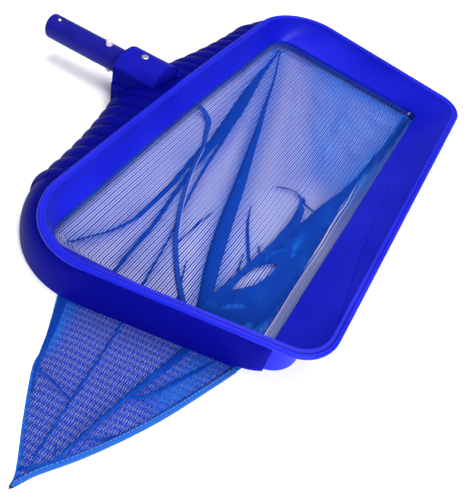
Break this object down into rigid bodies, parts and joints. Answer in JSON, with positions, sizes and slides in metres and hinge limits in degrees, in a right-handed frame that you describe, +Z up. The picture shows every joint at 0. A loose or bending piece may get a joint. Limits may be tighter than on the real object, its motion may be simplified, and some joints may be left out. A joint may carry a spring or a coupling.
{
  "type": "leaf skimmer net",
  "caption": "Deep-bag pool leaf skimmer: a wide plastic scoop frame with a skimming lip, a ribbed rear yoke, a fine mesh bag and a tubular pole spigot with a sprung V-clip.",
  "frame": {"origin": "on the axis of the pole spigot, in the middle of its plain free stretch beyond the clip buttons", "axes": "+Y along the spigot axis towards the pole, -Y towards the skimming lip, +Z up out of the mouth of the net; the frame is symmetric about X = 0 and the bag is pulled out towards -X"},
  "size_m": [0.6436, 0.442, 0.0572],
  "materials": {
    "ring_plastic": "satin moulded plastic, saturated blue",
    "yoke_plastic": "satin moulded plastic, dark blue",
    "tube_finish": "smooth dark blue coat",
    "rivet_metal": "bright aluminium",
    "mandrel_steel": "dark steel",
    "spring_steel": "spring steel strip",
    "button_nylon": "off-white nylon",
    "mesh": "fine woven polyester mesh, see-through",
    "tape": "woven binding tape, blue",
    "spline": "round cord pressed into its groove",
    "screw_steel": "stainless steel"
  },
  "bodies": {
    "frame": {"scoop_ring": "ring_plastic", "handle_yoke": "yoke_plastic", "front_clamp_bar": "yoke_plastic", "handle_tube": "tube_finish", "rivet_body_top": "rivet_metal", "rivet_mandrel_top": "mandrel_steel", "rivet_body_bottom": "rivet_metal", "rivet_mandrel_bottom": "mandrel_steel", "clip_bend": "spring_steel", "mesh_bag": "mesh", "hem_tape": "tape", "hem_spline": "spline", "bag_side_seam": "tape", "bag_tail_hem": "tape", "back_screws": "screw_steel", "near_screws": "screw_steel", "far_screws": "screw_steel", "front_screws": "screw_steel"},
    "upper_clip": {"clip_leaf_top": "spring_steel", "clip_button_top": "button_nylon"},
    "lower_clip": {"clip_leaf_bottom": "spring_steel", "clip_button_bottom": "button_nylon"}
  },
  "joints": [
    {"name": "upper_button_press", "type": "hinge", "parent": "frame", "child": "upper_clip", "pos_m": [0, 0.002, 0.0099], "axis": [1, 0, 0], "range_deg": [0, 8], "stiffness_Nm_per_rad": 3},
    {"name": "lower_button_press", "type": "hinge", "parent": "frame", "child": "lower_clip", "pos_m": [0, 0.002, -0.0099], "axis": [-1, 0, 0], "range_deg": [0, 8], "stiffness_Nm_per_rad": 3}
  ]
}
